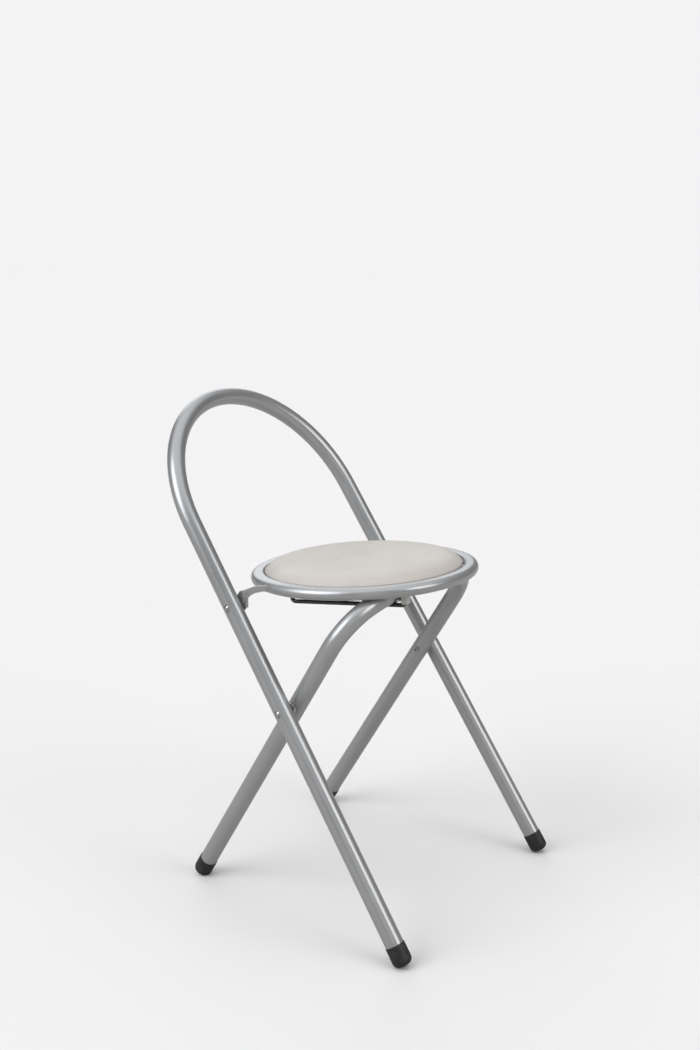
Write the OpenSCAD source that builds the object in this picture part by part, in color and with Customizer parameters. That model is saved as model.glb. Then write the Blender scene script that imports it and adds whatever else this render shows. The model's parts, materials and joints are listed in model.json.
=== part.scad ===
// Folding chair with a round padded seat: a bent-tube hoop that is the backrest and the front legs,
// a second bent tube that is the rear legs, and a seat ring that rides on the second tube.
// Millimetres. +Z is up, the front is -Y, and the sitter's right is -X.
// The origin is on the floor, below the middle of the open chair.

/* [Tubes] */
// Outside diameter of both bent tubes
tube_d = 25; // [22:0.5:28]
// Wall of the bent tubes
tube_wall = 1.4; // [1.2:0.1:2]
// Height of the seat ring's flattened tube
ring_tube_h = 16.2; // [14:0.1:18]
// Width of the seat ring's flattened tube
ring_tube_w = 18.6; // [17:0.1:22]
// Wall of the seat ring's tube
ring_wall = 1.2; // [1:0.1:1.6]

/* [Back hoop and front legs] */
// Height of the crossing pivot above the floor
pivot_z = 300.6; // [290:0.1:310]
// Lean of the hoop from upright, top to the rear
hoop_lean = 33.6; // [31:0.1:35]
// Half of the hoop's width at the pivot, to the tube's centre
hoop_half = 187.3; // [185:0.1:195]
// Splay of each front leg, feet outwards
hoop_splay = 0.92; // [0:0.01:2]
// Pivot to the top of the hoop, along the hoop
hoop_top = 464; // [440:1:500]

/* [Rear legs] */
// Lean of the rear leg frame from upright, top to the front
leg_lean = 31.7; // [30:0.1:34]
// Half of the leg frame's width at the pivot, to the tube's centre
leg_half = 156.5; // [150:0.1:158]
// Toe-in of each rear leg, feet inwards
leg_toe = 0.5; // [0:0.01:1]
// Pivot to the top of the leg frame's arch, along the legs
leg_top = 186; // [180:0.5:187]
// Bend radius of the arch's two corners, to the tube's centre
corner_r = 66; // [60:1:72]
// Slope of the arch where a corner meets its long shallow top
corner_slope = 19.3; // [15:0.1:22]

/* [Seat] */
// Radius of the seat ring, to the tube's centre
ring_r = 151.6; // [148:0.1:154]
// Height of the seat ring's centre
seat_z = 457.1; // [455:0.1:460]
// The seat ring's centre ahead of the pivot
seat_ahead = 1.7; // [0:0.1:3]
// Slope of the seat, rear edge lower
seat_tilt = 3.6; // [2:0.05:5]
// Seat hinge to the crossing pivot, along the hoop
hinge_up = 156; // [155:0.5:157]
// Radius of the seat pad
pad_r = 140.4; // [136:0.1:141]
// The pad's middle behind the ring's
pad_back = 1.6; // [0:0.1:1.8]
// Height of the pad's crown above its rim
pad_crown = 14; // [12:0.5:18]

/* [Folding] */
// Turn of the leg frame from open to folded
fold_turn = 65.3; // [60:0.1:65.3]
// Turn of the seat from open to folded
seat_turn = 117.54; // [110:0.01:118]

/* [Fittings] */
// Outside diameter of the foot caps
foot_d = 26.6; // [26:0.1:28]
// Length of the foot caps
foot_len = 29; // [24:1:36]
// Shank diameter of the rivets
rivet_d = 6; // [5:0.5:7]
// Diameter of the guide rods
rod_d = 6; // [4:0.5:6]
// Each guide rod from the middle of the chair
rod_x = 66; // [60:1:70]

/* [Hidden] */
$fn = 96;

RIGHT = -1;
LEFT = 1;

// Gaps: between pieces that move on each other, round a rivet, and between fixed neighbours
run_gap = 0.35;
bore_gap = 0.08;
seat_gap = 0.05;

tube_r = tube_d / 2;
tube_in = tube_r - tube_wall;
ring_tube_r = ring_tube_h / 2;
ring_out = ring_r + ring_tube_w / 2;
rivet_r = rivet_d / 2;
rod_r = rod_d / 2;

// Welds between lengths of tube: length, how far they stand off the tube, and the seam they fill
weld_len = 2;
weld_proud = 0.04;
weld_seam = 0.3;

// Feet: the cap's lower edge is rounded, and the floor has worn a small flat on it
foot_r = foot_d / 2;
foot_edge = 8;
foot_wear = 0.5;
foot_floor = 5;
foot_lip = 0.8;

// Distance from the pivot to a foot cap's lower end, along a leg that leans by the given angle
function foot_reach(lean) =
    (pivot_z - foot_edge + foot_wear - (foot_r - foot_edge) * sin(lean)) / cos(lean) + foot_edge;
// Furthest a foot cap reaches from the pivot, level with the floor
function foot_out(lean) =
    (foot_reach(lean) - foot_edge) * sin(lean) + (foot_r - foot_edge) * cos(lean) + foot_edge;

// Rounds a length to a tenth of a millimetre, so that bends and legs meet exactly
function tidy(length) = round(length * 10) / 10;

hoop_reach = foot_reach(hoop_lean);
leg_reach = foot_reach(leg_lean);

// The pivot's place that centres the chair's length over the origin
pivot_y = (foot_out(hoop_lean) - hoop_top * sin(hoop_lean) - tube_r) / 2;

// Hoop: one round bend that runs into the two legs without a corner
hoop_r = tidy((hoop_half - hoop_top * tan(hoop_splay)) * cos(hoop_splay) / (1 - sin(hoop_splay)));
hoop_centre = hoop_top - hoop_r;
hoop_leg_len = (hoop_centre + hoop_r * sin(hoop_splay) + hoop_reach) / cos(hoop_splay);

// Leg frame: a long shallow arc between two corner bends
top_extra = tidy((leg_half - corner_r * cos(leg_toe)
        + (leg_top - corner_r - corner_r * sin(leg_toe)) * tan(leg_toe))
    / (sin(corner_slope) + (1 - cos(corner_slope)) * tan(leg_toe)));
top_r = top_extra + corner_r;
corner_turn = 90 - corner_slope + leg_toe;
seam_turn = weld_seam * 180 / (PI * corner_r);
corner_up = leg_top - top_r + top_extra * cos(corner_slope);
rear_leg_len = (corner_up - corner_r * sin(leg_toe) + leg_reach) / cos(leg_toe);

// Seat hinge, in the middle of the hoop tubes
hinge_y = pivot_y + hinge_up * sin(hoop_lean);
hinge_z = pivot_z + hinge_up * cos(hoop_lean);
hinge_x = hoop_half - hinge_up * tan(hoop_splay);

// Where the guide rods cross the arch, up the leg frame, and that point with the chair open
bar_up = leg_top - top_r + sqrt(top_r * top_r - rod_x * rod_x);
bar_y = pivot_y - bar_up * sin(leg_lean);
bar_z = pivot_z + bar_up * cos(leg_lean);
// The same point with the chair folded, as the seat sees it
folded_lean = fold_turn - leg_lean;
folded_y = pivot_y + bar_up * sin(folded_lean) - hinge_y;
folded_z = pivot_z + bar_up * cos(folded_lean) - hinge_z;
end_y = hinge_y + folded_y * cos(seat_turn) - folded_z * sin(seat_turn);
end_z = hinge_z + folded_y * sin(seat_turn) + folded_z * cos(seat_turn);
// The bar's travel along the rods, and the rods' slope
travel = norm([end_y - bar_y, end_z - bar_z]);
rod_slope = atan2(bar_z - end_z, end_y - bar_y);

// Bracket: an ear on the hinge rivet and an arm that rises to the ring
sheet = 2.5;
ear_gap = run_gap;
washer_t = 0.8;
washer_r = 7.2;
ear_outer = hinge_x - tube_r - 0.2 - washer_t - ear_gap;

// Pan and pad, from the ring's middle plane
pan_t = 2;
pan_rise = 10;
pan_flat_r = 130.5;
pan_step_r = 132.5;
rim_z = 7.5;
cover_t = 1;
crown_power = 10;
rim_r = pad_r - cover_t - 0.5;

tab_angles = [0, 90, 180, 270];
tab_r = 134.8;

// Rods and glides, from the bar's centre and square to the rods
cup_r = tube_r + 1.2;
cup_t = 0.8;
rod_down = cup_r + cup_t + run_gap + rod_r;
rod_end_gap = 0.8;

module both_sides() {
    children();
    mirror([1, 0, 0]) children();
}

// Frames of reference
module in_hoop() {
    translate([0, pivot_y, pivot_z]) rotate([-hoop_lean, 0, 0]) children();
}

module in_legs() {
    translate([0, pivot_y, pivot_z]) rotate([leg_lean, 0, 0]) children();
}

module in_seat() {
    translate([0, pivot_y - seat_ahead, seat_z]) rotate([-seat_tilt, 0, 0]) children();
}

module in_pad() {
    in_seat() translate([0, pad_back, 0]) children();
}

module at_hinge() {
    translate([0, hinge_y, hinge_z]) children();
}

// The bar's centre, with Y along the rods to the rear
module on_bar() {
    translate([0, bar_y, bar_z]) rotate([-rod_slope, 0, 0]) children();
}

// A straight tube, along Z
module straight_tube(length) {
    difference() {
        cylinder(r = tube_r, h = length);
        translate([0, 0, -1]) cylinder(r = tube_in, h = length + 2);
    }
}

// A bent tube in the XZ plane, about the origin, from one angle to another
module bent_tube(bend_r, start, end) {
    rotate([90, 0, 0]) rotate([0, 0, start]) rotate_extrude(angle = end - start)
        translate([bend_r, 0]) difference() {
            circle(r = tube_r);
            circle(r = tube_in);
        }
}

// A cylinder along X, from x_from to x_to
module x_bar(r, x_from, x_to) {
    translate([min(x_from, x_to), 0, 0]) rotate([0, 90, 0]) cylinder(r = r, h = abs(x_to - x_from));
}

// Rivet hole right across both legs, and a flat for the rivet's head on the outside of each
spot_r = 5.4;
spot_depth = 0.9;

module rivet_cuts(tube_x) {
    x_bar(rivet_r + bore_gap, -tube_x - tube_r - 5, tube_x + tube_r + 5);
    both_sides() x_bar(spot_r, tube_x + tube_r - spot_depth, tube_x + tube_r + 5);
}

// Children are drawn for the left, and mirrored for the right
module on_side(side) {
    if (side == LEFT) children();
    else mirror([1, 0, 0]) children();
}

// Where each front leg leaves the hoop's bend, with -Z down the leg
module on_front_leg() {
    in_hoop() translate([0, 0, hoop_centre]) rotate([0, -hoop_splay, 0])
        translate([hoop_r, 0, 0]) children();
}

// Where each rear leg leaves its corner bend, with -Z down the leg
module on_rear_leg() {
    in_legs() translate([0, 0, leg_top - top_r]) rotate([0, corner_slope - 90, 0])
        translate([top_extra, 0, 0]) rotate([0, corner_turn, 0]) translate([corner_r, 0, 0])
        children();
}

// The weld that joins two lengths of tube, on the Z axis at Z 0
module weld() {
    rotate_extrude() translate([tube_in - weld_proud, -weld_len / 2])
        square([tube_wall + 2 * weld_proud, weld_len]);
}

// A straight leg that runs down from the end of a bend of this radius, welded to it
module leg_below_bend(bend_r, length) {
    translate([bend_r, 0, 0]) {
        translate([0, 0, -length]) straight_tube(length - weld_seam);
        weld();
    }
}

module hoop_leg() {
    rotate([0, -hoop_splay, 0]) leg_below_bend(hoop_r, hoop_leg_len - foot_floor);
}

module hoop_frame() {
    color("silver") difference() {
        in_hoop() translate([0, 0, hoop_centre]) {
            bent_tube(hoop_r, hoop_splay, 180 - hoop_splay);
            both_sides() hoop_leg();
        }
        translate([0, pivot_y, pivot_z]) rivet_cuts(hoop_half);
        at_hinge() rivet_cuts(hinge_x);
    }
}

module leg_corner() {
    rotate([0, corner_slope - 90, 0]) translate([top_extra, 0, 0]) {
        bent_tube(corner_r, -corner_turn, -seam_turn);
        rotate([0, corner_turn, 0]) leg_below_bend(corner_r, rear_leg_len - foot_floor);
        translate([corner_r, 0, 0]) weld();
    }
}

module leg_frame() {
    color("silver") difference() {
        in_legs() translate([0, 0, leg_top - top_r]) {
            bent_tube(top_r, 90 - corner_slope, 90 + corner_slope);
            both_sides() leg_corner();
        }
        translate([0, pivot_y, pivot_z])
            x_bar(rivet_r + bore_gap, -leg_half - tube_r - 5, leg_half + tube_r + 5);
    }
}

// Foot cap on the lower end of a leg of this length, along -Z, started at an angle round the leg
module foot_cap(length, start) {
    translate([0, 0, -length]) rotate([0, 0, start]) rotate_extrude() difference() {
        union() {
            translate([0, foot_edge]) square([foot_r, foot_len - foot_edge - foot_lip]);
            translate([0, foot_edge]) square([foot_r - foot_lip, foot_len - foot_edge]);
            square([foot_r - foot_edge, foot_edge + 1]);
            intersection() {
                translate([foot_r - foot_edge, foot_edge]) circle(r = foot_edge);
                square([foot_r, foot_len]);
            }
        }
        translate([-1, foot_floor - seat_gap]) square([tube_r + seat_gap + 1, foot_len]);
    }
}

// The room just above the floor
floor_w = 600;

module above_floor() {
    translate([-floor_w / 2, -floor_w / 2, 0]) cube([floor_w, floor_w, 2 * foot_len]);
}

module front_foot(side) {
    color("dimgray") on_side(side) intersection() {
        on_front_leg() foot_cap(hoop_leg_len, 90);
        above_floor();
    }
}

module rear_foot(side) {
    color("dimgray") on_side(side) intersection() {
        on_rear_leg() foot_cap(rear_leg_len, -90);
        above_floor();
    }
}

// A rivet along X: domed head outside, shank, and a hollow clinched end inside
head_r = 4.8;
head_h = 2.2;
clinch_r = 4.6;
clinch_h = 1.6;
hollow_r = 1.9;
hollow_len = 6;

module rivet(side, head_x, clinch_x) {
    rotate([0, side * 90, 0]) difference() {
        union() {
            translate([0, 0, clinch_x]) cylinder(r = rivet_r, h = head_x - clinch_x);
            intersection() {
                translate([0, 0, head_x]) cylinder(r = head_r, h = head_h);
                translate([0, 0, head_x + head_h - dome_r()]) sphere(r = dome_r());
            }
            translate([0, 0, clinch_x - clinch_h]) cylinder(r = clinch_r, h = clinch_h);
        }
        translate([0, 0, clinch_x - clinch_h - 1]) cylinder(r = hollow_r, h = hollow_len + 1);
    }
}

// Radius of the ball that a rivet head is cut from
function dome_r() = (head_r * head_r + head_h * head_h) / (2 * head_h);

module pivot_rivet(side) {
    color("gainsboro") translate([0, pivot_y, pivot_z])
        rivet(side, hoop_half + tube_r - spot_depth + seat_gap, leg_half - tube_r - run_gap);
}

module seat_rivet(side) {
    color("gainsboro") at_hinge()
        rivet(side, hinge_x + tube_r - spot_depth + seat_gap, ear_outer - sheet - run_gap);
}

// A ring washer along X, from x_from to x_to
module x_washer(outer_r, x_from, x_to) {
    difference() {
        x_bar(outer_r, x_from, x_to);
        x_bar(rivet_r + bore_gap, min(x_from, x_to) - 1, max(x_from, x_to) + 1);
    }
}

spacer_r = 8;

module pivot_spacer(side) {
    color("gainsboro") translate([0, pivot_y, pivot_z])
        x_washer(spacer_r, side * (leg_half + tube_r + run_gap), side * (hoop_half - tube_r - 0.15));
}

module seat_washer(side) {
    color("gainsboro") at_hinge()
        x_washer(washer_r, side * (ear_outer + ear_gap), side * (ear_outer + ear_gap + washer_t));
}

// The ring, its flattened tube larger all round by a gap: round but for a squarer upper edge
// inside, beside the pad
ring_lip_r = 3;

module ring_shape(gap) {
    rotate_extrude() translate([ring_r, 0]) {
        for (side = [-1, 1]) translate([side * (ring_tube_w / 2 - ring_tube_r), 0])
            circle(r = ring_tube_r + gap);
        square([ring_tube_w - ring_tube_h, ring_tube_h + 2 * gap], center = true);
        translate([ring_lip_r - ring_tube_w / 2, ring_tube_r - ring_lip_r]) circle(r = ring_lip_r + gap);
        translate([-ring_tube_w / 2 - gap, 0])
            square([ring_tube_w / 2 + gap, ring_tube_r - ring_lip_r]);
        translate([ring_lip_r - ring_tube_w / 2, 0])
            square([ring_tube_w / 2 - ring_lip_r, ring_tube_r + gap]);
    }
}

// The ring, with a drain hole in its underside at the rear
drain_r = 1.5;

module seat_ring() {
    color("silver") in_seat() difference() {
        ring_shape(0);
        ring_shape(-ring_wall);
        translate([0, ring_r, -ring_tube_h]) cylinder(r = drain_r, h = ring_tube_h);
    }
}

// Bracket: an ear round the rivet, with a turned-in front flange, and an arm on edge
// that rises inwards and is coped to the ring
ear_r = 7.2;
ear_shape = [
    [7, 3], [4, 12], [-1, 19], [-6, 21], [-11.5, 20], [-11.5, -3], [-8, -6.9], [3, -6.5]];
arm_shape = [
    [-1.5, 4], [3, 8], [8, 13.5], [14, 17], [25, 19], [42, 19], [42, 27.5], [14, 26.5], [-1.5, 21]];
arm_turn = 40;
arm_start = 8;
flange_w = 3;
flange_h = 20;

module bracket(side) {
    ear_inner = ear_outer - sheet;
    color("silver") difference() {
        union() {
            at_hinge() on_side(side) {
                x_bar(ear_r, ear_inner, ear_outer);
                translate([ear_inner, 0, 0]) rotate([90, 0, 90]) linear_extrude(sheet)
                    polygon(ear_shape);
                translate([ear_inner - flange_w, -11.5, -3]) cube([flange_w + 1, sheet, flange_h]);
                translate([ear_outer - sheet / 2, -arm_start, 0]) rotate([0, 0, -90 - arm_turn])
                    rotate([90, 0, 0]) translate([0, 0, -sheet / 2]) linear_extrude(sheet)
                    polygon(arm_shape);
            }
        }
        at_hinge() x_bar(rivet_r + bore_gap, side * (ear_outer + 5), side * (ear_inner - 10));
        in_seat() ring_shape(seat_gap);
    }
}

// Height of a dish or a crown at a radius
function crown_z(r, edge_r, edge_z, rise) = edge_z + rise * (1 - pow(r / edge_r, crown_power));
crown_steps = [for (i = [0:23]) sin(i * 90 / 23)];

module seat_pan() {
    color("dimgray") in_pad() difference() {
        rotate_extrude() polygon([
            [0, pan_rise], [pan_flat_r, pan_rise], [pan_step_r, 0], [rim_r, 0],
            [rim_r, pan_t], [pan_step_r + 1, pan_t], [pan_flat_r + 1, pan_rise + pan_t],
            [0, pan_rise + pan_t]]);
        for (a = tab_angles) rotate([0, 0, a]) translate([tab_r, 0, -1]) cylinder(r = screw_r + 0.2, h = 5);
    }
}

module seat_foam() {
    inner_r = pad_r - cover_t - seat_gap;
    color("khaki") in_pad() rotate_extrude() polygon(concat(
        [[0, pan_rise + pan_t + seat_gap], [pan_flat_r + 1, pan_rise + pan_t + seat_gap],
            [pan_step_r + 1, pan_t + seat_gap], [inner_r, pan_t + seat_gap]],
        [for (i = [23:-1:0]) [crown_steps[i] * inner_r,
            crown_z(crown_steps[i], 1, rim_z, pad_crown - cover_t - seat_gap)]]));
}

module seat_cover() {
    inner_r = pad_r - cover_t;
    color("antiquewhite") in_pad() rotate_extrude() polygon(concat(
        [for (i = [0:23]) [crown_steps[i] * inner_r,
            crown_z(crown_steps[i], 1, rim_z, pad_crown - cover_t)]],
        [[inner_r, -cover_t], [pad_r, -cover_t]],
        [for (i = [23:-1:0]) [crown_steps[i] * pad_r,
            crown_z(crown_steps[i], 1, rim_z, pad_crown)]]));
}

// Tabs on the inside of the ring that carry the pan, and the screws through them
tab_t = 2;
tab_w = 14;
tab_top = -cover_t - 0.3;
tab_end = 4.5;
screw_r = 1.3;
screw_head_r = 3.2;
screw_head_h = 1.8;

module pan_tabs() {
    color("silver") difference() {
        in_pad() for (a = tab_angles) rotate([0, 0, a]) difference() {
            translate([tab_r - tab_end, -tab_w / 2, tab_top - tab_t])
                cube([ring_r - tab_r + tab_end, tab_w, tab_t]);
            translate([tab_r, 0, tab_top - tab_t - 1]) cylinder(r = screw_r + 0.3, h = tab_t + 2);
        }
        in_seat() ring_shape(seat_gap);
    }
}

module pan_screws() {
    color("gainsboro") in_pad() for (a = tab_angles) rotate([0, 0, a])
        translate([tab_r, 0, tab_top - tab_t - seat_gap]) {
            translate([0, 0, -screw_head_h]) cylinder(r = screw_head_r, h = screw_head_h);
            cylinder(r = screw_r, h = pan_t - tab_top + tab_t);
        }
}

// Guide rod: a wire staple whose ends turn up and stop just under the pan
rod_turn_r = 6;
rod_up = 60;
rod_front = -tube_r - rod_end_gap - rod_r;
rod_back = travel + tube_r + rod_end_gap + rod_r;

// The room under the pan, less a gap
module under_pan(gap) {
    deep = 2 * rod_up;
    in_pad() rotate_extrude() polygon([
        [0, -deep], [ring_out, -deep], [ring_out, -cover_t - gap], [pan_step_r, -cover_t - gap],
        [pan_step_r - gap, -gap], [pan_flat_r - gap, pan_rise - gap], [0, pan_rise - gap]]);
}

// Both upright ends and the straight of one rod, of any thickness
module rod_shape(side, r) {
    on_bar() translate([side * rod_x, 0, -rod_down]) {
        translate([0, rod_front + rod_turn_r, 0]) rotate([-90, 0, 0])
            cylinder(r = r, h = rod_back - rod_front - 2 * rod_turn_r);
        for (end = [[rod_front, 1], [rod_back, -1]])
            translate([0, end[0] + end[1] * rod_turn_r, rod_turn_r]) {
                rotate([90, 0, 90]) rotate([0, 0, end[1] == 1 ? 180 : 270])
                    rotate_extrude(angle = 90) translate([rod_turn_r, 0]) circle(r = r);
                translate([0, -end[1] * rod_turn_r, 0]) cylinder(r = r, h = rod_up - rod_turn_r);
            }
    }
}

module guide_rod(side) {
    color("dimgray") intersection() {
        rod_shape(side, rod_r);
        under_pan(run_gap);
    }
}

// Rod end: a nylon block round the front upright of a guide rod, ahead of the arch
rod_end_w = 9;
rod_end_l = 8;
rod_end_up = 2;

module rod_end(side) {
    color("whitesmoke") difference() {
        intersection() {
            on_bar() translate([side * rod_x - rod_end_w / 2,
                    rod_front - rod_end_l + rod_r - 0.2, rod_end_up - rod_down])
                cube([rod_end_w, rod_end_l, rod_up]);
            under_pan(run_gap);
        }
        rod_shape(side, rod_r + seat_gap);
    }
}

// Glide: a nylon liner under the arch where a guide rod crosses it
glide_w = 8;
glide_half_turn = 60;

module glide(side) {
    color("dimgray") on_bar() translate([side * rod_x - glide_w / 2, 0, 0]) rotate([0, 90, 0])
        rotate([0, 0, -glide_half_turn]) rotate_extrude(angle = 2 * glide_half_turn)
        translate([cup_r, 0]) square([cup_t, glide_w]);
}

hoop_frame();
leg_frame();
seat_ring();
seat_pan();
seat_foam();
seat_cover();
bracket(RIGHT);  // right_bracket
bracket(LEFT);  // left_bracket
guide_rod(RIGHT);  // right_guide_rod
guide_rod(LEFT);  // left_guide_rod
rod_end(RIGHT);  // right_rod_end
rod_end(LEFT);  // left_rod_end
glide(RIGHT);  // right_glide
glide(LEFT);  // left_glide
pivot_rivet(RIGHT);  // right_pivot_rivet
pivot_rivet(LEFT);  // left_pivot_rivet
pivot_spacer(RIGHT);  // right_pivot_spacer
pivot_spacer(LEFT);  // left_pivot_spacer
seat_rivet(RIGHT);  // right_seat_rivet
seat_rivet(LEFT);  // left_seat_rivet
seat_washer(RIGHT);  // right_seat_washer
seat_washer(LEFT);  // left_seat_washer
front_foot(RIGHT);  // front_right_foot
front_foot(LEFT);  // front_left_foot
rear_foot(RIGHT);  // rear_right_foot
rear_foot(LEFT);  // rear_left_foot
pan_tabs();
pan_screws();
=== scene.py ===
"""Looks of a folding chair: tubular steel with a round padded seat and a round-topped hoop back.

Lengths are in metres. +Z is up, the front is -Y and the origin is on the floor.
"""

import json
import math

import bmesh
import bpy
from mathutils import Matrix, Vector


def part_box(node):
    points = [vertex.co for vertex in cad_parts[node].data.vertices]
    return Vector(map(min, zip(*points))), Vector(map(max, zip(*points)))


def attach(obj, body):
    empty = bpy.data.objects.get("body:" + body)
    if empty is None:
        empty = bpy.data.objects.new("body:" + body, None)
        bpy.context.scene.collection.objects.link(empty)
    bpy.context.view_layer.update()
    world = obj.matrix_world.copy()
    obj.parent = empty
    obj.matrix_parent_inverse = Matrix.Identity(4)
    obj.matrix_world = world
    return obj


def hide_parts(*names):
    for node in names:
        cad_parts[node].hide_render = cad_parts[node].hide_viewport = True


MM = 0.001

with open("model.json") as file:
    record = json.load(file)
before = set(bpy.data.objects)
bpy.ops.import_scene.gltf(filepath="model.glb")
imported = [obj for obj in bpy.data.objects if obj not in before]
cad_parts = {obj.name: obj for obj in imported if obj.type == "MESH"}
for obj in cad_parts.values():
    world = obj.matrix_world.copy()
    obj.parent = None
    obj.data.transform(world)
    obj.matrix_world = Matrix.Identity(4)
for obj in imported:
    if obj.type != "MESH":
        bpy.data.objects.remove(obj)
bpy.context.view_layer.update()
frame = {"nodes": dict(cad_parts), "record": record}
nodes = frame["nodes"]

# Frame sizes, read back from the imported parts. The tube's section and the pad's offset repeat
# those of part.scad.
RING_HALF_H = 8.1 * MM
RING_HALF_W = 9.3 * MM
PAD_BACK = 1.6 * MM
ring_low, ring_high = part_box("seat_ring")
cover_low, cover_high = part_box("seat_cover")
RING_R = (ring_high.x - ring_low.x) / 2 - RING_HALF_W
PAD_R = (cover_high.x - cover_low.x) / 2
RING_RISE = (ring_high.z - ring_low.z) / 2 - RING_HALF_H
SEAT_TILT = math.asin(RING_RISE / (RING_R + RING_HALF_W - RING_HALF_H))
SEAT_CENTRE = (ring_low + ring_high) / 2
SEAT_FRAME = Matrix.Translation(SEAT_CENTRE) @ Matrix.Rotation(-SEAT_TILT, 4, "X")
PAD_FRAME = SEAT_FRAME @ Matrix.Translation((0, PAD_BACK, 0))


# ---------------------------------------------------------------- materials

# Sockets of a Mix node that carry its two colours and its result
MIX_FIRST, MIX_SECOND, MIX_RESULT = 6, 7, 2


class Shader:
    """A node material with short helpers, so that each material below reads as a recipe.

    Scales are in features per metre, and the distances of bumps in metres.
    """

    def __init__(self, name):
        self.material = bpy.data.materials.new(name)
        self.material.use_nodes = True
        self.tree = self.material.node_tree
        self.bsdf = self.tree.nodes["Principled BSDF"]
        self.place = self.add("ShaderNodeTexCoord").outputs["Object"]

    def add(self, kind, **values):
        node = self.tree.nodes.new(kind)
        for key, value in values.items():
            if hasattr(node, key):
                setattr(node, key, value)
            else:
                node.inputs[key.replace("_", " ").title()].default_value = value
        return node

    def link(self, source, target):
        self.tree.links.new(source, target)

    def noise(self, scale, detail, stretch=None):
        node = self.add("ShaderNodeTexNoise", scale=scale, detail=detail)
        place = self.place
        if stretch:
            mapping = self.add("ShaderNodeMapping")
            mapping.inputs["Scale"].default_value = stretch
            self.link(self.place, mapping.inputs["Vector"])
            place = mapping.outputs["Vector"]
        self.link(place, node.inputs["Vector"])
        return node.outputs["Fac"]

    def cells(self, scale, feature="F1"):
        node = self.add("ShaderNodeTexVoronoi", feature=feature, scale=scale)
        self.link(self.place, node.inputs["Vector"])
        return node.outputs["Distance"]

    def ramp(self, fac, stops):
        """Colours between two (position, colour) stops."""
        node = self.add("ShaderNodeValToRGB")
        for element, (position, color) in zip(node.color_ramp.elements, stops):
            element.position = position
            element.color = (*color, 1)
        self.link(fac, node.inputs["Fac"])
        return node.outputs["Color"]

    def span(self, fac, low, high, start=0.0, end=1.0):
        """From low to high, as fac goes from start to end."""
        node = self.add("ShaderNodeMapRange")
        limits = {"From Min": start, "From Max": end, "To Min": low, "To Max": high}
        for key, value in limits.items():
            node.inputs[key].default_value = value
        self.link(fac, node.inputs["Value"])
        return node.outputs["Result"]

    def mix(self, fac, first, second):
        """From first at fac 0 to second at fac 1, each a colour or a socket."""
        node = self.add("ShaderNodeMix", data_type="RGBA")
        self.link(fac, node.inputs["Factor"])
        for value, socket in ((first, node.inputs[MIX_FIRST]), (second, node.inputs[MIX_SECOND])):
            if isinstance(value, tuple):
                socket.default_value = (*value, 1)
            else:
                self.link(value, socket)
        return node.outputs[MIX_RESULT]

    def bump(self, height, distance, strength, under=None):
        node = self.add("ShaderNodeBump")
        node.inputs["Distance"].default_value = distance
        node.inputs["Strength"].default_value = strength
        self.link(height, node.inputs["Height"])
        if under:
            self.link(under, node.inputs["Normal"])
        return node.outputs["Normal"]

    def set(self, **values):
        for key, value in values.items():
            socket = self.bsdf.inputs[key.replace("_", " ")]
            if hasattr(value, "is_output"):
                self.link(value, socket)
            else:
                socket.default_value = value
        return self.material


def silver_lacquer():
    """Silver stoving lacquer: fine flake, faint orange peel, a little dirt and rub."""
    s = Shader("silver_lacquer")
    flake = s.cells(2600)
    cloud = s.noise(9, detail=5)
    rub = s.noise(60, detail=6, stretch=(1, 1, 0.25))
    base = s.ramp(cloud, [(0.3, (0.43, 0.434, 0.44)), (0.7, (0.48, 0.485, 0.492))])
    base = s.mix(s.span(flake, 0.0, 0.22), base, (0.6, 0.61, 0.625))
    base = s.mix(s.span(rub, 0.0, 0.16, 0.62, 0.8), base, (0.36, 0.352, 0.342))
    peel = s.bump(s.noise(420, detail=2), 0.00006, 0.25)
    return s.set(
        Base_Color=base,
        Metallic=0.7,
        Roughness=s.span(cloud, 0.27, 0.36, 0.3, 0.7),
        Normal=s.bump(flake, 0.00002, 0.12, peel),
        Coat_Weight=0.4,
        Coat_Roughness=0.12,
    )


def bright_zinc():
    """Zinc-plated steel, turned and tumbled."""
    s = Shader("bright_zinc")
    cloud = s.noise(140, detail=5)
    scratches = s.noise(900, detail=3, stretch=(0.05, 1, 1))
    base = s.ramp(cloud, [(0.3, (0.4, 0.4, 0.39)), (0.7, (0.55, 0.55, 0.54))])
    return s.set(
        Base_Color=base,
        Metallic=1.0,
        Roughness=s.span(scratches, 0.2, 0.36, 0.3, 0.7),
        Normal=s.bump(scratches, 0.00002, 0.3),
    )


def rod_steel():
    """Drawn wire with fine lengthwise die lines, its colour painted near black as painted shade
    for the shadow it lies in under the seat.
    """
    s = Shader("rod_steel")
    lines = s.noise(1500, detail=2, stretch=(1, 0.03, 1))
    cloud = s.noise(45, detail=4)
    # Painted shade: these near-black tones, far darker than bare steel, stand for the shadow
    # under the seat.
    base = s.ramp(cloud, [(0.35, (0.07, 0.068, 0.065)), (0.7, (0.12, 0.118, 0.112))])
    return s.set(
        Base_Color=base,
        Metallic=1.0,
        Roughness=s.span(cloud, 0.3, 0.45, 0.3, 0.7),
        Normal=s.bump(lines, 0.00003, 0.4),
    )


def smooth_vinyl():
    """Smooth vinyl with a fine pebble grain and faint soiling."""
    s = Shader("smooth_vinyl")
    grain = s.cells(1500, "DISTANCE_TO_EDGE")
    pores = s.noise(2600, detail=3)
    cloud = s.noise(14, detail=5)
    soil = s.noise(38, detail=6)
    base = s.ramp(cloud, [(0.3, (0.615, 0.565, 0.52)), (0.7, (0.655, 0.607, 0.562))])
    base = s.mix(s.span(soil, 0.0, 0.25, 0.6, 0.8), base, (0.49, 0.45, 0.41))
    pebble = s.bump(s.span(grain, 0, 1, 0.0, 0.2), 0.00005, 0.35)
    return s.set(
        Base_Color=base,
        Roughness=s.span(soil, 0.42, 0.56, 0.3, 0.7),
        Normal=s.bump(pores, 0.00003, 0.25, pebble),
        Sheen_Weight=0.08,
        Specular_IOR_Level=0.45,
    )


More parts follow.
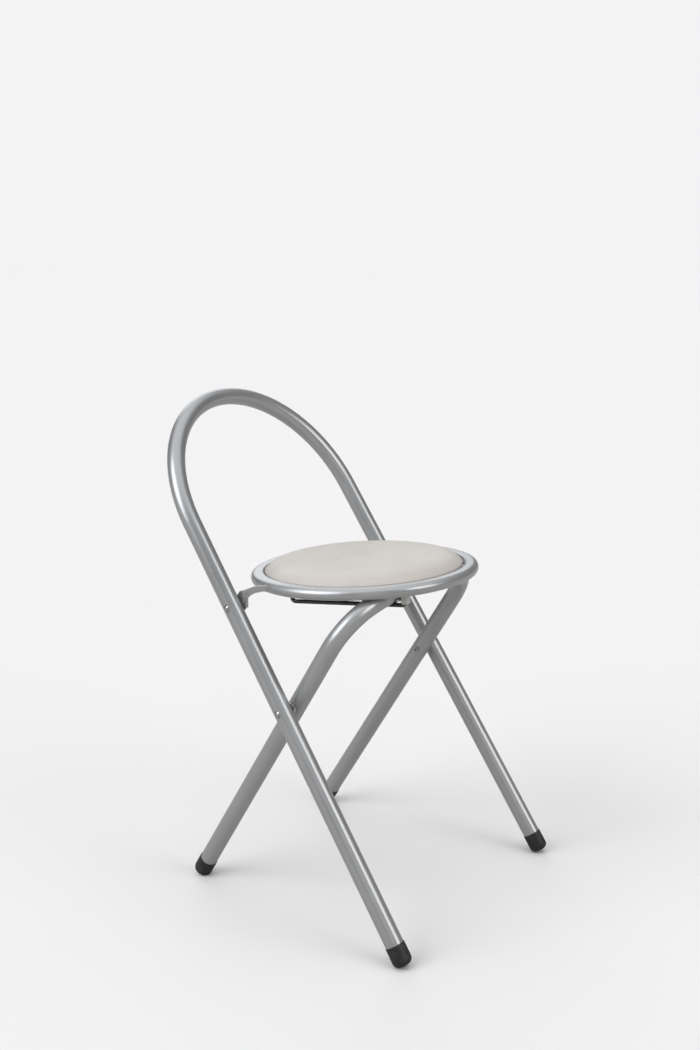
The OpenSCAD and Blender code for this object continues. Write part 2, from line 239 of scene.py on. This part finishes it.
def black_rubber():
    """Moulded black rubber, dusty where it meets the floor."""
    s = Shader("black_rubber")
    grain = s.noise(900, detail=5)
    dust = s.noise(70, detail=6)
    base = s.ramp(dust, [(0.45, (0.012, 0.012, 0.013)), (0.75, (0.035, 0.034, 0.032))])
    return s.set(
        Base_Color=base,
        Roughness=s.span(grain, 0.42, 0.6, 0.3, 0.7),
        Normal=s.bump(grain, 0.00006, 0.3),
    )


def black_pan():
    """Pressed steel pan in satin black."""
    s = Shader("black_pan")
    cloud = s.noise(30, detail=5)
    peel = s.noise(500, detail=2)
    base = s.ramp(cloud, [(0.35, (0.018, 0.018, 0.02)), (0.7, (0.035, 0.035, 0.037))])
    return s.set(
        Base_Color=base,
        Roughness=s.span(cloud, 0.35, 0.5, 0.3, 0.7),
        Normal=s.bump(peel, 0.00006, 0.3),
        Coat_Weight=0.2,
    )


def milky_nylon():
    """Moulded natural nylon, slightly yellowed."""
    s = Shader("milky_nylon")
    cloud = s.noise(90, detail=4)
    base = s.ramp(cloud, [(0.3, (0.7, 0.69, 0.65)), (0.7, (0.78, 0.77, 0.74))])
    return s.set(
        Base_Color=base,
        Roughness=s.span(cloud, 0.34, 0.46, 0.3, 0.7),
        Normal=s.bump(s.noise(700, detail=3), 0.00004, 0.25),
        Subsurface_Weight=0.1,
        Subsurface_Radius=(0.002, 0.002, 0.0015),
    )


def dark_nylon():
    """Moulded black nylon, polished where it runs on the rod."""
    s = Shader("dark_nylon")
    cloud = s.noise(120, detail=4)
    base = s.ramp(cloud, [(0.35, (0.02, 0.02, 0.02)), (0.7, (0.04, 0.04, 0.04))])
    return s.set(
        Base_Color=base,
        Roughness=s.span(cloud, 0.3, 0.5, 0.3, 0.7),
        Normal=s.bump(s.noise(800, detail=3), 0.00004, 0.25),
    )


# The floor as the camera sees it, matched to the backdrop so that no horizon shows
FLOOR_TONE = (0.928, 0.904, 0.894)
# How much lighter its faint clouds are
FLOOR_CLOUD = 0.004
# The floor as it lights the chair from below
FLOOR_BOUNCE = (0.5, 0.48, 0.46)


def floor_paper():
    """Plain pale studio sweep, darker to the light that bounces off it than to the eye."""
    s = Shader("floor_paper")
    cloud = s.noise(3, detail=3)
    light = tuple(c + FLOOR_CLOUD for c in FLOOR_TONE)
    seen = s.ramp(cloud, [(0.3, FLOOR_TONE), (0.7, light)])
    ray = s.add("ShaderNodeLightPath").outputs["Is Camera Ray"]
    base = s.mix(ray, FLOOR_BOUNCE, seen)
    return s.set(Base_Color=base, Roughness=0.9, Specular_IOR_Level=0.0)


MATERIALS = {
    "frame_paint": silver_lacquer(),
    "zinc": bright_zinc(),
    "rod_steel": rod_steel(),
    "vinyl": smooth_vinyl(),
    "foot_plastic": black_rubber(),
    "pan_board": black_pan(),
    "nylon": milky_nylon(),
    "dark_nylon": dark_nylon(),
}


def paint(piece, slot_name):
    piece.data.materials.clear()
    piece.data.materials.append(MATERIALS[slot_name])


def paint_cad():
    """Each CAD node that stays gets the material of its slot."""
    for sub in frame["record"]["subparts"]:
        if sub["material_slot"] in MATERIALS:
            paint(nodes[sub["node"]], sub["material_slot"])


# ---------------------------------------------------------------- seat pad

# Radii about the pad's axis, and heights above the ring's middle plane. The pad lies 0.2 mm over
# the pan, and its hem wraps under the pan's rim.
PAD_RIM_Z = 7.5 * MM  # where the crown meets the upright side
PAD_RISE = 14 * MM  # the crown's height above that
PAD_POWER = 12  # how flat the crown is, and how sharply it turns down
PAD_UNDER = -1 * MM  # the hem's underside
HEM_R = 133.9 * MM  # the hem's inner edge
PAN_RIM = 2.2 * MM  # over the pan's rim
PAN_TOP = 12.2 * MM  # over the pan's raised middle
PAN_FLAT_R = 131.7 * MM  # round the pan's raised middle

# The outline's points: shares of the radius over the top, heights down the side, and radii in
# millimetres back to the axis over the pan
TURNS = 180
TOP_SHARES = [0.0, 0.03, 0.06] + [0.09 + 0.76 * i / 26 for i in range(27)]
TOP_SHARES += [0.875, 0.9, 0.922, 0.94, 0.955, 0.968, 0.979, 0.988, 0.995, 1.0]
SIDE_MM = (5.6, 4.2, 2.8, 1.4, 0.0)
PAN_MM = (120, 100, 80, 60, 40, 20, 8, 0)

# The cloth simulation, and what it may change
SWELL_ROOM = 0.5 * MM  # how much smaller the pad starts
SWELL_FRAMES = 20
SWELL_CAP = 5 * MM  # how far a point may move
CROWN_SLACK = 0.5 * MM  # how far the top may end from its crown
HELD_Z = 3 * MM  # the side and the hem are held below this height
LOW_Z = PAN_TOP + 1 * MM  # the top's middle is higher than this, and the underside lower
UNDER_EDGE = 4 * MM  # the held underside starts this far inside the pad's edge
TOP_EDGE = 6 * MM  # the top's edge is this wide
CLOTH = {
    "use_pressure": True,
    "uniform_pressure_force": 4,
    "quality": 6,
    "mass": 0.3,
    "tension_stiffness": 15,
    "compression_stiffness": 15,
    "bending_stiffness": 0.5,
    "vertex_group_mass": "held",
}


def new_piece(name, mesh, slot_name, body):
    piece = bpy.data.objects.new(name, mesh)
    bpy.context.scene.collection.objects.link(piece)
    paint(piece, slot_name)
    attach(piece, body)
    return piece


def lathe(bm, outline):
    """Faces turned about the pad's axis from (radius, height) points.

    A point on the axis gives one vertex, and the faces beside it are triangles.
    """
    rows = []
    for radius, height in outline:
        if radius == 0:
            rows.append([bm.verts.new(PAD_FRAME @ Vector((0, 0, height)))])
            continue
        rows.append([
            bm.verts.new(PAD_FRAME @ Vector((
                radius * math.cos(2 * math.pi * i / TURNS),
                radius * math.sin(2 * math.pi * i / TURNS),
                height)))
            for i in range(TURNS)])
    for low, high in zip(rows, rows[1:]):
        for i in range(TURNS):
            j = (i + 1) % TURNS
            corners = [
                low[i % len(low)], low[j % len(low)],
                high[j % len(high)], high[i % len(high)]]
            bm.faces.new(list(dict.fromkeys(corners)))


def crown(radius):
    """Height of the pad's top above the ring's middle plane."""
    return PAD_RIM_Z + PAD_RISE * (1 - min(radius / PAD_R, 1) ** PAD_POWER)


def pad_form():
    """The pad's closed form, smaller than the finished pad by the room it swells into."""
    edge = PAD_R - SWELL_ROOM
    top = [(edge * share, crown(PAD_R * share) - SWELL_ROOM) for share in TOP_SHARES]
    side = [(edge, z * MM) for z in SIDE_MM]
    # The hem, rounded at its outer and its inner corner, and then the step up over the pan
    under = [
        (edge - 0.25 * MM, -0.6 * MM), (edge - 0.9 * MM, PAD_UNDER),
        (HEM_R + 1.5 * MM, PAD_UNDER), (HEM_R + 0.4 * MM, -0.7 * MM),
        (HEM_R, PAN_RIM), (PAN_FLAT_R, PAN_TOP)]
    inner = [(r * MM, PAN_TOP) for r in PAN_MM]
    bm = bmesh.new()
    lathe(bm, top + side + under + inner)
    bmesh.ops.recalc_face_normals(bm, faces=bm.faces)
    mesh = bpy.data.meshes.new("pad_form")
    bm.to_mesh(mesh)
    bm.free()
    return mesh


def bake(piece):
    """Replaces a piece's mesh by what its modifiers make of it."""
    graph = bpy.context.evaluated_depsgraph_get()
    made = bpy.data.meshes.new_from_object(piece.evaluated_get(graph))
    piece.modifiers.clear()
    piece.data = made


def swell(piece):
    """The cover blown up over the foam: pressure inside, its hem and its underside held.

    The result is kept inside the pad's radius, and its top near the crown.
    """
    back = PAD_FRAME.inverted()
    start = [v.co.copy() for v in piece.data.vertices]
    held = piece.vertex_groups.new(name="held")
    for i, p in enumerate(back @ v for v in start):
        radius = math.hypot(p.x, p.y)
        if p.z < HELD_Z or (radius < PAD_R - UNDER_EDGE and p.z < LOW_Z):
            held.add([i], 1.0, "REPLACE")
    cloth = piece.modifiers.new("cloth", "CLOTH")
    for key, value in CLOTH.items():
        setattr(cloth.settings, key, value)
    cloth.settings.effector_weights.gravity = 0
    cloth.point_cache.frame_start = 1
    cloth.point_cache.frame_end = SWELL_FRAMES
    scene = bpy.context.scene
    for step in range(1, SWELL_FRAMES + 1):
        scene.frame_set(step)
    bake(piece)
    scene.frame_set(1)
    for vertex, first in zip(piece.data.vertices, start):
        move = vertex.co - first
        if move.length > SWELL_CAP:
            move = move.normalized() * SWELL_CAP
        place = back @ (first + move)
        radius = math.hypot(place.x, place.y)
        if radius > PAD_R:
            place.x *= PAD_R / radius
            place.y *= PAD_R / radius
        if (back @ first).z > LOW_Z or (radius > PAD_R - TOP_EDGE and place.z > HELD_Z):
            roof = crown(radius)
            place.z = min(max(place.z, roof - CROWN_SLACK), roof + CROWN_SLACK)
        vertex.co = PAD_FRAME @ place
    piece.vertex_groups.clear()


def seat_pad():
    """The stuffed pad that stands for the cover and the foam."""
    pad = new_piece("seat_pad", pad_form(), "vinyl", "seat")
    swell(pad)
    smooth = pad.modifiers.new("smooth", "SUBSURF")
    smooth.levels = 1
    bake(pad)
    for face in pad.data.polygons:
        face.use_smooth = True
    paint(pad, "vinyl")
    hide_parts("seat_cover", "seat_foam")


# ---------------------------------------------------------------- studio

# The sky as the camera sees it, and its even part as it lights the chair
BACKDROP = 0.896
SKY_BASE = 0.2

FLOOR_SIZE = 150

# Soft boxes at a great distance: direction, cosines of their outer and inner edges, strength and
# colour
BOXES = [
    ((0.0, 0.0, 1.0), 0.55, 0.92, 0.86, (0.93, 0.965, 1.0)),
    ((-0.87, 0.42, 0.62), 0.88, 0.955, 3.0, (0.95, 0.975, 1.0)),
    ((0.1, -1.0, 0.55), 0.93, 0.985, 2.4, (1.0, 0.99, 0.975)),
    ((0.75, 0.75, 0.5), 0.9, 0.97, 1.2, (0.95, 0.975, 1.0)),
    ((-0.75, -0.7, 0.3), 0.93, 0.985, 0.45, (1.0, 1.0, 1.0)),
]


def sky():
    """The soft boxes over an even base for the light, and a plain backdrop for the camera."""
    world = bpy.data.worlds.new("studio")
    bpy.context.scene.world = world
    world.use_nodes = True
    tree = world.node_tree
    look = tree.nodes.new("ShaderNodeTexCoord").outputs["Generated"]
    total = None
    for direction, outer, inner, strength, color in BOXES:
        dot = tree.nodes.new("ShaderNodeVectorMath")
        dot.operation = "DOT_PRODUCT"
        dot.inputs[1].default_value = Vector(direction).normalized()
        tree.links.new(look, dot.inputs[0])
        edge = tree.nodes.new("ShaderNodeMapRange")
        edge.interpolation_type = "SMOOTHSTEP"
        limits = {"From Min": outer, "From Max": inner, "To Min": 0, "To Max": strength}
        for key, value in limits.items():
            edge.inputs[key].default_value = value
        tree.links.new(dot.outputs["Value"], edge.inputs["Value"])
        tint = tree.nodes.new("ShaderNodeVectorMath")
        tint.operation = "SCALE"
        tint.inputs[0].default_value = color
        tree.links.new(edge.outputs["Result"], tint.inputs["Scale"])
        joined = tree.nodes.new("ShaderNodeVectorMath")
        joined.operation = "ADD"
        tree.links.new(tint.outputs["Vector"], joined.inputs[0])
        if total is None:
            joined.inputs[1].default_value = (SKY_BASE,) * 3
        else:
            tree.links.new(total, joined.inputs[1])
        total = joined.outputs["Vector"]
    seen = tree.nodes.new("ShaderNodeMix")
    seen.data_type = "RGBA"
    ray = tree.nodes.new("ShaderNodeLightPath").outputs["Is Camera Ray"]
    tree.links.new(ray, seen.inputs["Factor"])
    tree.links.new(total, seen.inputs[MIX_FIRST])
    seen.inputs[MIX_SECOND].default_value = (BACKDROP, BACKDROP, BACKDROP, 1)
    tree.links.new(seen.outputs[MIX_RESULT], tree.nodes["Background"].inputs["Color"])


def studio():
    """A wide floor under the sky, which isn't part of the chair."""
    bm = bmesh.new()
    bmesh.ops.create_grid(bm, x_segments=4, y_segments=4, size=FLOOR_SIZE)
    floor = bpy.data.meshes.new("floor")
    bm.to_mesh(floor)
    bm.free()
    piece = bpy.data.objects.new("floor", floor)
    bpy.context.scene.collection.objects.link(piece)
    piece.data.materials.append(floor_paper())
    sky()
    bpy.context.scene.view_settings.view_transform = "Standard"


# The camera looks at AIM from DISTANCE; azimuth 0 looks along +Y. Its lens and sensor are in mm.
AZIMUTH = math.radians(-54.93)
ELEVATION = math.radians(11.96)
DISTANCE = 1.6818
AIM = Vector((-0.0335, -0.0320, 0.5273))
LENS = 41.63
SENSOR = 36


def camera():
    data = bpy.data.cameras.new("camera")
    data.sensor_width = SENSOR
    data.lens = LENS
    view = bpy.data.objects.new("camera", data)
    bpy.context.scene.collection.objects.link(view)
    forward = Vector((
        -math.sin(AZIMUTH) * math.cos(ELEVATION),
        math.cos(AZIMUTH) * math.cos(ELEVATION),
        -math.sin(ELEVATION)))
    view.location = AIM - forward * DISTANCE
    view.rotation_euler = forward.to_track_quat("-Z", "Y").to_euler()
    bpy.context.scene.camera = view


paint_cad()
seat_pad()
studio()
camera()
